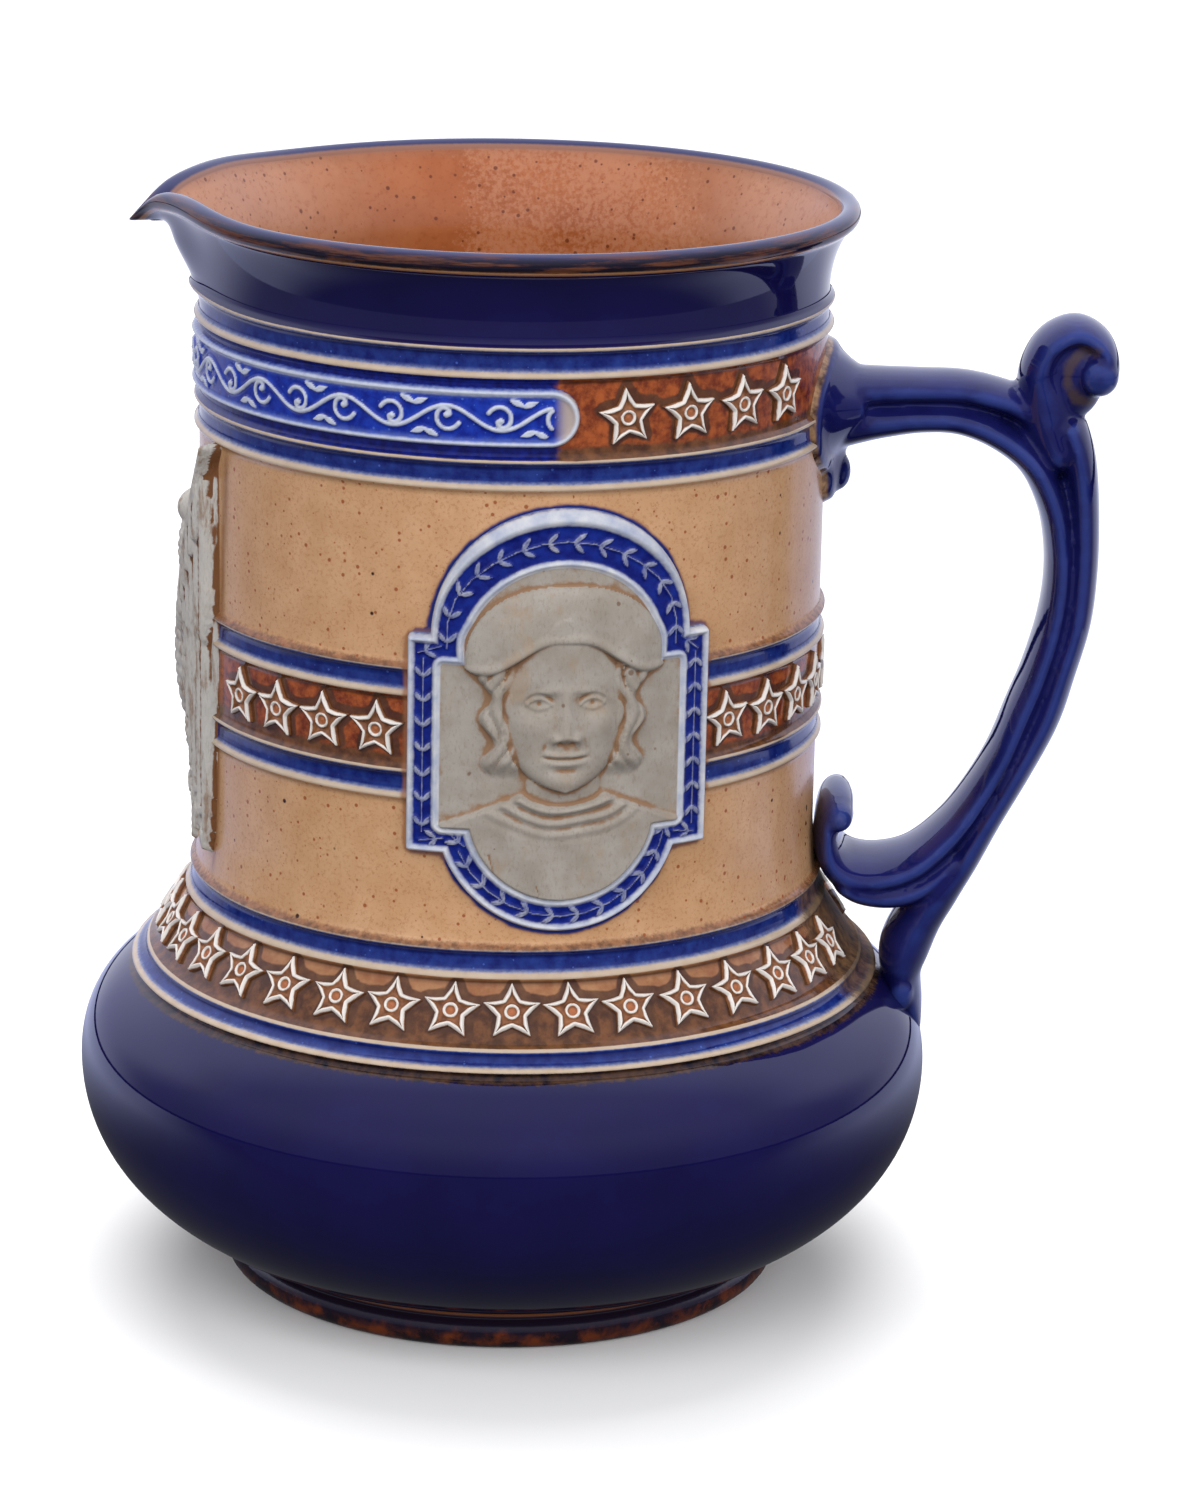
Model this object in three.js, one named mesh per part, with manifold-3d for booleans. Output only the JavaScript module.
// Stoneware jug: a thrown vessel with a pulled spout, a scroll handle and applied relief.
// Millimetres, +Z up. The axis of the vessel is Z and it stands on z = 0.
// The handle points along +X and the spout along -X, and -Y is the shown side.
// An azimuth is in degrees, 0 at -Y and 90 at +X.

import * as THREE from "three";
import { mergeVertices } from "three/addons/utils/BufferGeometryUtils.js";
import Module from "manifold-3d";

// Heights of the vessel, stacked from the ground up.
const FOOT_HEIGHT = 7;
const BULB_RISE = 55;
const BULB_WIDEST = 35.2;
const SHOULDER_BAND = 3;
const BAND_HEIGHT = 4.9;
const LOWER_PANEL = 27.7;
const UPPER_PANEL = 33.8;
const COLLAR_RISE = 13.6;
const RIM_BEAD = 4;

// A star of the applied rows, and what each field of stars is taller than its star.
const STAR_RADIUS = 5.7;
const STAR_WAIST = 2.6;
const STAR_RISE = 1.2;
const STAR_BOSS = 0.5;
const STAR_WIDTH = 2 * STAR_RADIUS * Math.sin(0.4 * Math.PI);
const STAR_HEIGHT = STAR_RADIUS * (1 + Math.cos(0.2 * Math.PI));
const SLOPE_MARGIN = 1.29;
const MIDDLE_MARGIN = 4.09;
const UPPER_MARGIN = 5.09;

// Radii and walls of the vessel. The slope, shoulder and mouth stand out from the neck.
const FOOT_RADIUS = 53.9;
const FOOT_FLAT = 50.5;
const GROOVE_RADIUS = 52.4;
const BULB_RADIUS = 82;
const NECK_RADIUS = 58.9;
const NECK_FLARE = 1.7;
const SLOPE_RADIUS = NECK_RADIUS + 10.1;
const SHOULDER_RADIUS = SLOPE_RADIUS + 3;
const MOUTH_RADIUS = NECK_RADIUS + 5.3;
const RIDGE = 1;
const RIDGE_WIDTH = 2.4;
const WALL = 5;
const FLOOR = 7;

// Spout: how far its tip reaches past the mouth and drops below the rim, how far its throat
// swells and the rim rises beside it, and how many degrees each of these spreads.
const SPOUT_REACH = 6;
const REACH_SPREAD = 2.4;
const SPOUT_DROP = 7.9;
const DROP_SPREAD = 3.2;
const THROAT_SWELL = 4.2;
const SWELL_SPREAD = 12;
const SHOULDER_RISE = 1.2;
const SHOULDER_AWAY = 20;
const SHOULDER_SPREAD = 16;
const TIP_ROUNDING = 0.8;

// Handle, measured out from the neck wall and up from the neck band.
const HANDLE_REACH = 52;
const STRAP_THICK = 10.6;
const STRAP_WIDTH = 22;
const PAD_WIDTH = 41;
const PAD_HEIGHT = 31;
const PAD_BELOW_BAND = 3.5;
const PAD_EDGE = 2.2;
const PAD_CROWN = 3;
const PAD_SHOULDER = 12;
const PAD_LOBE = 17;
const CURL_WIDTH = 27;
const LEAF_WIDTH = 17.6;
const LEAF_DROP = 14.8;
const SECTION_SIDES = 12;
const SIDE_GROOVE = 0.14;
const GROOVE_SPREAD = 0.3;

// Rows of stars: the gaps between neighbours, and to what each row runs up to.
const GAP = 0.3;
const WEB = 0.3;
const LOWER_STAR_GAP = 0.38;
const LOWER_STAR_START = 3.4;
const MIDDLE_STAR_GAP = 0.31;
const MIDDLE_CLEARANCE = 0.45;
const UPPER_STAR_GAP = 1.55;
const UPPER_CLEARANCE = 3.2;

// Medallions, with the place and half sizes of the bust's head and chest.
const MEDALLION_AZIMUTH = 11.4;
const MEDALLION_WIDTH = 56.4;
const MEDALLION_HEIGHT = 78.4;
const MEDALLION_ARCH = 47.6;
const MEDALLION_WING = 41;
const WING_DROP = 4.7;
const MEDALLION_RISE = 2;
const BUST_RISE = 2.4;
const BUST_HEAD = { up: 6, wide: 12, tall: 19 };
const BUST_CHEST = { up: -22, wide: 19, tall: 15, rise: 0.7 };

// Eagle and tablet.
const EAGLE_WIDTH = 58;
const EAGLE_EDGE = 1.2;
const EAGLE_RISE = 3.6;
const EAGLE_TOP_MARGIN = 3;
const EAGLE_WING_RISE = 9;
const EAGLE_FOOT_DROP = 3;
const EAGLE_CROWN = 0.6;
const TABLET_HEIGHT = 10.9;
const TABLET_END = 13.7;
const TABLET_RISE = 1.3;

// Steps round the vessel, and how far they crowd towards the spout, from 0 to 1.
const SEGMENTS = 54;
const CROWDING = 0.72;
const SPOUT_AZIMUTH = -90;
const HANDLE_AZIMUTH = 90;

const wasm = await Module();
wasm.setup();

const radians = THREE.MathUtils.degToRad;
const { smoothstep, lerp } = THREE.MathUtils;
const at = (radius, z) => new THREE.Vector2(radius, z);

// Degrees that a distance round the vessel spans at a radius.
const span = (distance, radius) => THREE.MathUtils.radToDeg(distance / radius);

// Height of each ridge and level of the vessel.
function stackLevels() {
  const shoulder = FOOT_HEIGHT + BULB_RISE;
  const slope = shoulder + SHOULDER_BAND;
  const neckBand = slope + STAR_HEIGHT + SLOPE_MARGIN;
  const lowerPanel = neckBand + BAND_HEIGHT;
  const middleBand = lowerPanel + LOWER_PANEL;
  const middleField = middleBand + BAND_HEIGHT;
  const middleTop = middleField + STAR_HEIGHT + MIDDLE_MARGIN;
  const upperPanel = middleTop + BAND_HEIGHT;
  const upperBand = upperPanel + UPPER_PANEL;
  const upperField = upperBand + BAND_HEIGHT;
  const topBand = upperField + STAR_HEIGHT + UPPER_MARGIN;
  const collar = topBand + BAND_HEIGHT;
  const bead = collar + COLLAR_RISE;
  return {
    shoulder, slope, neckBand, lowerPanel, middleBand, middleField, middleTop,
    upperPanel, upperBand, upperField, topBand, collar, bead, rim: bead + RIM_BEAD,
  };
}
const LEVEL = stackLevels();
const PANEL_MIDDLE = (LEVEL.lowerPanel + LEVEL.upperBand) / 2;

// A turned ridge: three points whose crest stands at the given radius.
function ridge(radius, z) {
  return [
    at(radius - RIDGE, z - RIDGE_WIDTH / 2),
    at(radius, z),
    at(radius - RIDGE, z + RIDGE_WIDTH / 2),
  ];
}

// Points of a cubic curve, without its first.
function bend(points, steps) {
  return new THREE.CubicBezierCurve(...points).getPoints(steps).slice(1);
}

// Outer outline from the middle of the base to the top of the rim bead.
function outerOutline() {
  const crest = NECK_RADIUS + RIDGE;
  const widest = at(BULB_RADIUS, FOOT_HEIGHT + BULB_WIDEST);
  const waist = at(GROOVE_RADIUS, FOOT_HEIGHT);
  const shoulder = at(SHOULDER_RADIUS - RIDGE, LEVEL.shoulder - RIDGE_WIDTH / 2);
  const beadRadius = RIM_BEAD / 2;
  const beadAxis = MOUTH_RADIUS - beadRadius;
  const under = at(beadAxis + beadRadius * 0.3, LEVEL.bead);
  return [
    at(0, 0),
    at(FOOT_FLAT, 0),
    at(FOOT_RADIUS - 0.7, FOOT_HEIGHT * 0.13),
    at(FOOT_RADIUS, FOOT_HEIGHT * 0.37),
    at(FOOT_RADIUS - 0.6, FOOT_HEIGHT * 0.68),
    waist,
    ...bend([waist, at(lerp(GROOVE_RADIUS, BULB_RADIUS, 0.54), FOOT_HEIGHT + 5.5),
      at(BULB_RADIUS, widest.y - 18), widest], 7),
    ...bend([widest, at(BULB_RADIUS, widest.y + 9),
      at(shoulder.x + 6.5, shoulder.y - 3.5), shoulder], 5).slice(0, -1),
    ...ridge(SHOULDER_RADIUS, LEVEL.shoulder).slice(0, 2),
    ...ridge(SLOPE_RADIUS, LEVEL.slope),
    ...ridge(crest + NECK_FLARE, LEVEL.neckBand),
    ...ridge(crest + NECK_FLARE / 2, LEVEL.lowerPanel),
    at(NECK_RADIUS, LEVEL.lowerPanel + LOWER_PANEL * 0.3),
    ...ridge(crest, LEVEL.middleBand),
    ...ridge(crest, LEVEL.middleField),
    ...ridge(crest, LEVEL.middleTop),
    ...ridge(crest, LEVEL.upperPanel),
    ...ridge(crest, LEVEL.upperBand),
    ...ridge(crest, LEVEL.upperField),
    ...ridge(crest, LEVEL.topBand),
    ...ridge(crest + 0.4, LEVEL.collar),
    ...bend([at(NECK_RADIUS, LEVEL.collar + RIDGE_WIDTH / 2), at(NECK_RADIUS, LEVEL.collar + 6),
      at(under.x - 2.5, under.y - 3), under], 4),
    at(MOUTH_RADIUS, LEVEL.bead + beadRadius),
    at(beadAxis + beadRadius * 0.7, LEVEL.rim - beadRadius * 0.3),
    at(beadAxis, LEVEL.rim),
  ];
}

// Inner outline from the rim bead down to the middle of the floor.
function innerOutline() {
  const neck = NECK_RADIUS - WALL;
  const belly = at(BULB_RADIUS - WALL, FOOT_HEIGHT + BULB_WIDEST);
  const throat = at(neck + NECK_FLARE, LEVEL.neckBand - 2);
  const lip = at(MOUTH_RADIUS - RIM_BEAD, LEVEL.rim - RIM_BEAD * 0.4);
  return [
    lip,
    ...bend([lip, at(lip.x - 3, lip.y - 6), at(neck, LEVEL.collar + 4), at(neck, LEVEL.collar)], 4),
    at(neck, LEVEL.middleBand),
    throat,
    ...bend([throat, at(throat.x + 8, LEVEL.shoulder - 1), at(belly.x, belly.y + 12), belly], 4),
    ...bend([belly, at(belly.x, belly.y - 18), at(belly.x - 14, FLOOR + 3),
      at(GROOVE_RADIUS - WALL, FLOOR + 1)], 5),
    at(0, FLOOR),
  ];
}

// How a point of the outline moves at an angle away from the spout.
function pullSpout(point, degrees) {
  const rounded = Math.hypot(degrees, TIP_ROUNDING);
  const throat = smoothstep(point.y, LEVEL.topBand + 1, LEVEL.collar + 8);
  const lip = smoothstep(point.y, LEVEL.bead - 4, LEVEL.rim);
  const swell = THROAT_SWELL * Math.exp(-((degrees / SWELL_SPREAD) ** 2));
  const beak = SPOUT_REACH * Math.exp(-rounded / REACH_SPREAD);
  const drop = SPOUT_DROP * Math.exp(-rounded / DROP_SPREAD);
  const rise = SHOULDER_RISE * Math.exp(-(((degrees - SHOULDER_AWAY) / SHOULDER_SPREAD) ** 2));
  return at(point.x + throat * swell + lip * beak, point.y + throat * rise - lip * drop);
}

// The outline turned once round, with finer steps near the spout.
function turn(outline) {
  const start = radians(SPOUT_AZIMUTH);
  const geometry = new THREE.LatheGeometry(outline, SEGMENTS, start, 2 * Math.PI);
  const place = geometry.attributes.position;
  for (let i = 0; i <= SEGMENTS; i++) {
    const even = (2 * Math.PI * i) / SEGMENTS;
    const turned = i === SEGMENTS ? 0 : even - CROWDING * Math.sin(even);
    const away = THREE.MathUtils.radToDeg(Math.min(turned, 2 * Math.PI - turned));
    outline.forEach((point, j) => {
      const p = point.x > FOOT_FLAT ? pullSpout(point, away) : point;
      place.setXYZ(i * outline.length + j, p.x * Math.sin(start + turned), p.y,
        p.x * Math.cos(start + turned));
    });
  }
  return geometry.rotateX(Math.PI / 2);
}

// A closed geometry as a solid, and a solid as a geometry.
function solidOf(geometry) {
  const bare = geometry.clone();
  bare.deleteAttribute("normal");
  bare.deleteAttribute("uv");
  const merged = mergeVertices(bare, 1e-3);
  return new wasm.Manifold(new wasm.Mesh({
    numProp: 3,
    vertProperties: merged.attributes.position.array,
    triVerts: new Uint32Array(merged.index.array),
  }));
}

function geometryOf(solid) {
  const mesh = solid.getMesh();
  const geometry = new THREE.BufferGeometry();
  geometry.setAttribute("position", new THREE.BufferAttribute(mesh.vertProperties, 3));
  geometry.setIndex(new THREE.BufferAttribute(mesh.triVerts, 1));
  geometry.computeVertexNormals();
  return geometry;
}

// Radius of the turned outside at a height, read off its outline.
const OUTSIDE = outerOutline();
function wallRadius(z) {
  const i = OUTSIDE.findIndex((p, k) => k > 1 && p.y >= z);
  const [low, high] = [OUTSIDE[i - 1], OUTSIDE[i]];
  return lerp(low.x, high.x, (z - low.y) / (high.y - low.y));
}

// A point at a radius, azimuth and height.
function around(radius, azimuth, z) {
  const angle = radians(azimuth);
  return [radius * Math.sin(angle), -radius * Math.cos(angle), z];
}

// Closed surface from rings of the same number of points, capped at both ends.
function skin(rings) {
  const sides = rings[0].length;
  const points = rings.flat();
  const faces = [];
  for (let i = 0; i + 1 < rings.length; i++) {
    for (let j = 0; j < sides; j++) {
      const a = i * sides + j;
      const b = i * sides + ((j + 1) % sides);
      faces.push(a, b, b + sides, a, b + sides, a + sides);
    }
  }
  const last = (rings.length - 1) * sides;
  for (let j = 1; j + 1 < sides; j++) {
    faces.push(0, j + 1, j, last, last + j, last + j + 1);
  }
  const geometry = new THREE.BufferGeometry();
  geometry.setAttribute("position", new THREE.Float32BufferAttribute(points.flat(), 3));
  geometry.setIndex(faces);
  return geometry;
}

// A limb of the handle: a waisted section carried along a curve in the plane of the handle.
// Each station is [x, z, half thickness, half width].
function limb(stations, steps) {
  const middle = new THREE.CatmullRomCurve3(stations.map(([x, z]) => new THREE.Vector3(x, 0, z)));
  const halves = new THREE.CatmullRomCurve3(stations.map(([, , t, w]) => new THREE.Vector3(t, w, 0)));
  const rings = [];
  for (let i = 0; i <= steps; i++) {
    const centre = middle.getPoint(i / steps);
    const along = middle.getTangent(i / steps);
    const half = halves.getPoint(i / steps);
    const ring = [];
    for (let k = 0; k < SECTION_SIDES; k++) {
      const angle = (2 * Math.PI * k) / SECTION_SIDES;
      const thick = half.x * Math.cos(angle);
      const waist = 1 - SIDE_GROOVE * Math.exp(-((Math.cos(angle) / GROOVE_SPREAD) ** 2));
      ring.push([centre.x - along.z * thick, -half.y * waist * Math.sin(angle),
        centre.z + along.x * thick]);
    }
    rings.push(ring);
  }
  return solidOf(skin(rings));
}

// A curved plate on the vessel. Across is the distance round the wall from its middle,
// low and high give its edges there, and rise its thickness at a place.
function plate({ azimuth, radius, width, columns, rows, low, high, rise, back = radius }) {
  const rings = [];
  for (let i = 0; i <= columns; i++) {
    const across = (width / 2) * Math.sin((Math.PI / 2) * ((2 * i) / columns - 1));
    const front = [];
    const rear = [];
    for (let j = 0; j <= rows; j++) {
      const z = lerp(low(across), high(across), j / rows);
      const turned = azimuth + span(across, radius);
      front.unshift(around(radius + rise(across, z, j / rows), turned, z));
      rear.push(around(back, turned, z));
    }
    rings.push([...front, ...rear]);
  }
  return solidOf(skin(rings));
}

// A star on the wall: five tips and five waists round a raised middle.
function star(azimuth, z) {
  const count = 10;
  const radius = wallRadius(z);
  const lean = Math.atan2(wallRadius(z - STAR_WAIST) - wallRadius(z + STAR_WAIST), 2 * STAR_WAIST);
  const place = (out, across, up) => {
    const r = radius + out * Math.cos(lean) - up * Math.sin(lean);
    const turned = azimuth + span(across, radius);
    return around(r, turned, z + out * Math.sin(lean) + up * Math.cos(lean));
  };
  const corners = [];
  for (let k = 0; k < count; k++) {
    const reach = k % 2 ? STAR_WAIST : STAR_RADIUS;
    const angle = (2 * Math.PI * k) / count;
    corners.push([-reach * Math.sin(angle), reach * Math.cos(angle)]);
  }
  const points = [
    place(GAP, 0, 0),
    place(GAP + STAR_RISE + STAR_BOSS, 0, 0),
    ...corners.map(([a, u]) => place(GAP, a, u)),
    ...corners.map(([a, u]) => place(GAP + STAR_RISE, a, u)),
  ];
  const faces = [];
  for (let k = 0; k < count; k++) {
    const next = (k + 1) % count;
    const [a, b] = [2 + k, 2 + next];
    faces.push(0, a, b, 1, b + count, a + count);
    faces.push(a, a + count, b + count, a, b + count, b);
  }
  const geometry = new THREE.BufferGeometry();
  geometry.setAttribute("position", new THREE.Float32BufferAttribute(points.flat(), 3));
  geometry.setIndex(faces.reverse());
  return geometry;
}

// As many azimuths a pitch apart as there is room for, from the one given towards a limit
// that the last star stays clear of.
function rowOf(first, limit, pitch, radius) {
  const room = Math.abs(limit - first) - span(STAR_WIDTH / 2 + GAP, radius);
  const count = Math.floor(room / span(pitch, radius)) + 1;
  const step = Math.sign(limit - first) * span(pitch, radius);
  return Array.from({ length: count }, (none, k) => first + step * k);
}

// A row of the upper field's stars on one thin web.
function starRow(azimuths, z) {
  const first = azimuths[0];
  const last = azimuths[azimuths.length - 1];
  const inner = wallRadius(z) + GAP;
  const half = STAR_WAIST * 0.6;
  const web = plate({
    azimuth: (first + last) / 2, radius: inner, width: radians(Math.abs(last - first)) * inner,
    columns: 12, rows: 1, low: () => z - half, high: () => z + half, rise: () => WEB,
  });
  return azimuths.reduce((row, azimuth) => row.add(solidOf(star(azimuth, z))), web);
}

// A medallion: an arched plate with side wings, a raised edge and a bust in low relief.
function medallion(azimuth) {
  const arch = MEDALLION_ARCH / 2;
  const straight = MEDALLION_HEIGHT / 2 - arch;
  const middle = PANEL_MIDDLE;
  const round = (across) => straight + Math.sqrt(Math.max(0, arch ** 2 - across ** 2));
  const wing = MEDALLION_WING / 2;
  const dome = (across, z, { up, wide, tall }) =>
    Math.sqrt(Math.max(0, 1 - (across / wide) ** 2 - ((z - middle - up) / tall) ** 2));
  return plate({
    azimuth, radius: NECK_RADIUS + GAP, width: MEDALLION_WIDTH, columns: 12, rows: 9,
    back: NECK_RADIUS - WALL / 2,
    low: (across) => middle - Math.max(round(across), wing + WING_DROP),
    high: (across) => middle + Math.max(round(across), wing - WING_DROP),
    rise: (across, z) => MEDALLION_RISE + BUST_RISE * Math.max(
      dome(across, z, BUST_HEAD), BUST_CHEST.rise * dome(across, z, BUST_CHEST)),
  });
}

// The eagle of the front: raised wings, head between them and the tail below.
function eagle() {
  const half = EAGLE_WIDTH / 2;
  const top = LEVEL.upperBand - EAGLE_TOP_MARGIN;
  const foot = LEVEL.lowerPanel - EAGLE_FOOT_DROP;
  const share = (across) => Math.abs(across) / half;
  const dip = (across) => EAGLE_WING_RISE * Math.cos(share(across) * Math.PI * 0.9) ** 2;
  const crown = (across) => EAGLE_RISE * Math.exp(-((share(across) / EAGLE_CROWN) ** 2));
  return plate({
    azimuth: SPOUT_AZIMUTH, radius: NECK_RADIUS + GAP, width: EAGLE_WIDTH, columns: 14, rows: 8,
    back: NECK_RADIUS - WALL / 2,
    high: (across) => top - dip(across),
    low: (across) => lerp(foot, LEVEL.middleField, smoothstep(share(across), 0.3, 1)),
    rise: (across, z, v) => EAGLE_EDGE + crown(across) * Math.sin(Math.PI * lerp(0.1, 0.9, v)),
  });
}

// The tablet with round ends that runs round the front of the upper field.
function tablet() {
  const radius = NECK_RADIUS + GAP;
  const width = radians(2 * (TABLET_END - SPOUT_AZIMUTH)) * radius;
  const z = (LEVEL.upperField + LEVEL.topBand) / 2;
  const end = TABLET_HEIGHT / 2;
  const reach = (across) =>
    Math.sqrt(Math.max(0.2, end ** 2 - Math.max(0, Math.abs(across) - width / 2 + end) ** 2));
  return plate({
    azimuth: SPOUT_AZIMUTH, radius, width, columns: 40, rows: 2, back: NECK_RADIUS - WALL / 2,
    low: (across) => z - reach(across), high: (across) => z + reach(across),
    rise: () => TABLET_RISE,
  });
}

// The handle: neck pad, arm and strap with the curl at its foot, thumb scroll and tail leaf.
function handle() {
  const out = (share) => NECK_RADIUS + HANDLE_REACH * share;
  const up = (share) => lerp(LEVEL.neckBand, LEVEL.upperField, share);
  const t = STRAP_THICK / 2;
  const w = STRAP_WIDTH / 2;
  const strap = limb([
    [out(-0.04), up(1), t * 1.5, w * 1.25],
    [out(0.13), up(0.995), t * 1.3, w * 1.05],
    [out(0.35), up(1), t * 1.1, w * 0.92],
    [out(0.58), up(0.99), t * 1.1, w * 0.95],
    [out(0.76), up(0.94), t * 1.05, w],
    [out(0.88), up(0.83), t, w],
    [out(0.905), up(0.67), t, w],
    [out(0.87), up(0.5), t, w],
    [out(0.79), up(0.35), t, w],
    [out(0.66), up(0.2), t, w],
    [out(0.51), up(0.08), t, w],
    [out(0.33), up(0.03), t * 0.9, w * 1.1],
    [out(0.14), up(0.06), t * 0.75, CURL_WIDTH / 2],
    [out(0.05), up(0.13), t * 0.7, CURL_WIDTH / 2],
    [out(0.06), up(0.18), t * 0.85, CURL_WIDTH / 2 - 1],
    [out(0.08), up(0.22), t * 0.5, CURL_WIDTH / 2 - 3],
  ], 36);
  const scroll = limb([
    [out(0.85), up(0.82), t * 0.9, w * 0.9],
    [out(0.8), up(0.95), t * 0.9, w * 0.9],
    [out(0.79), up(1.05), t * 0.9, w * 0.85],
    [out(0.86), up(1.125), t * 0.75, w * 0.8],
    [out(0.945), up(1.12), t * 0.7, w * 0.75],
    [out(0.98), up(1.06), t * 0.7, w * 0.75],
    [out(0.92), up(1.03), t * 0.6, w * 0.7],
  ], 16);
  const leafMiddle = LEVEL.shoulder - LEAF_DROP / 2;
  const leafEnd = LEVEL.shoulder - LEAF_DROP;
  const l = LEAF_WIDTH / 2;
  const leaf = limb([
    [out(0.6), up(0.16), t * 0.9, l],
    [out(0.5), up(0.05), t * 0.95, l],
    [out(0.42), up(-0.07), t * 1.15, l],
    [wallRadius(LEVEL.shoulder) + 4.5, LEVEL.shoulder, t, l * 0.94],
    [wallRadius(leafMiddle) + 0.3, leafMiddle, t * 0.7, l * 0.78],
    [wallRadius(leafEnd) - 1, leafEnd, t * 0.25, l * 0.31],
  ], 16);
  const padTop = LEVEL.topBand - PAD_BELOW_BAND;
  const pad = plate({
    azimuth: HANDLE_AZIMUTH, radius: NECK_RADIUS + GAP, width: PAD_WIDTH, columns: 10, rows: 5,
    back: NECK_RADIUS - WALL / 2,
    high: (across) => padTop - PAD_SHOULDER * Math.abs((2 * across) / PAD_WIDTH) ** 3,
    low: (across) => padTop - PAD_HEIGHT + PAD_LOBE * Math.abs((2 * across) / PAD_WIDTH) ** 1.5,
    rise: (across, z, v) =>
      PAD_EDGE + PAD_CROWN * Math.cos((Math.PI * across) / PAD_WIDTH) * Math.sin(Math.PI * v),
  });
  return strap.add(scroll).add(leaf).add(pad);
}

// Glazes and clays.
const cobalt = { color: 0x10124e, roughness: 0.12, metalness: 0 };
const buff = { color: 0xb08a60, roughness: 0.35, metalness: 0 };
const whiteClay = { color: 0xb9b0a4, roughness: 0.75, metalness: 0 };
const tabletBlue = { color: 0x1d2f8f, roughness: 0.3, metalness: 0 };
const russet = { color: 0x8a5a3a, roughness: 0.3, metalness: 0 };

const jug = new THREE.Group();
jug.name = "stoneware_jug";

function put(name, geometry, finish) {
  const mesh = new THREE.Mesh(geometry, new THREE.MeshStandardMaterial(finish));
  mesh.name = name;
  jug.add(mesh);
}

const vessel = solidOf(turn([...OUTSIDE, ...innerOutline()]));

// The outside of the vessel as a solid, a gap larger, that fits what is applied to it.
const clearance = OUTSIDE.map((p) => at(p.x > 0 ? p.x + GAP : 0, p.y));
const envelope = solidOf(turn([...clearance, at(0, LEVEL.rim)]));
const fitted = (solid) => geometryOf(solid.subtract(envelope));

put("vessel_body", geometryOf(vessel), buff);
put("scroll_handle", fitted(handle()), cobalt);
put("medallion_right", fitted(medallion(MEDALLION_AZIMUTH)), whiteClay);
put("medallion_left", fitted(medallion(180 - MEDALLION_AZIMUTH)), whiteClay);
put("eagle_relief", fitted(eagle()), whiteClay);
put("front_tablet", fitted(tablet()), tabletBlue);

function putStars(name, azimuths, z) {
  azimuths.forEach((azimuth, k) => {
    put(`${name}_${String(k + 1).padStart(2, "0")}`, star(azimuth, z), russet);
  });
}

// Stars all round the slope above the bulb, but for those that the tail leaf covers.
const slopeZ = (LEVEL.slope + LEVEL.neckBand) / 2;
const slopeRadius = wallRadius(slopeZ);
const leafCovers = span((LEAF_WIDTH + STAR_WIDTH) / 2 + GAP, slopeRadius);
const lowerCount = Math.round((2 * Math.PI * slopeRadius) / (STAR_WIDTH + LOWER_STAR_GAP));
const lowerAll = Array.from({ length: lowerCount }, (none, k) =>
  LOWER_STAR_START + (360 / lowerCount) * k);
putStars("lower_star",
  lowerAll.filter((azimuth) => Math.abs(azimuth - HANDLE_AZIMUTH) > leafCovers), slopeZ);

// Stars of the middle field: one under the handle, a run from each edge of a medallion.
const middleZ = (LEVEL.middleField + LEVEL.middleTop) / 2;
const middlePitch = STAR_WIDTH + MIDDLE_STAR_GAP;
const medallionHalf = span(MEDALLION_WIDTH / 2, NECK_RADIUS + GAP);
const beside = medallionHalf + span(STAR_WIDTH / 2 + MIDDLE_CLEARANCE, NECK_RADIUS);
const eagleEdge = SPOUT_AZIMUTH + span(EAGLE_WIDTH / 2, NECK_RADIUS + GAP);
const lastRear = HANDLE_AZIMUTH - span(STAR_WIDTH / 2, NECK_RADIUS);
const middleRuns = [
  ...rowOf(MEDALLION_AZIMUTH - beside, eagleEdge, middlePitch, NECK_RADIUS),
  ...rowOf(MEDALLION_AZIMUTH + beside, lastRear, middlePitch, NECK_RADIUS),
];
putStars("middle_star",
  [HANDLE_AZIMUTH, ...middleRuns, ...middleRuns.map((azimuth) => 180 - azimuth)], middleZ);

// Stars of the upper field, from each end of the tablet towards the handle's pad.
const upperZ = (LEVEL.upperField + LEVEL.topBand) / 2;
const upperFirst = TABLET_END + span(STAR_WIDTH / 2 + UPPER_CLEARANCE, NECK_RADIUS);
const padEdge = HANDLE_AZIMUTH - span(PAD_WIDTH / 2, NECK_RADIUS + GAP);
const upperRun = rowOf(upperFirst, padEdge, STAR_WIDTH + UPPER_STAR_GAP, NECK_RADIUS);
put("upper_stars_right", geometryOf(starRow(upperRun, upperZ)), russet);
put("upper_stars_left", geometryOf(starRow(upperRun.map((a) => 180 - a), upperZ)), russet);

export default jug;
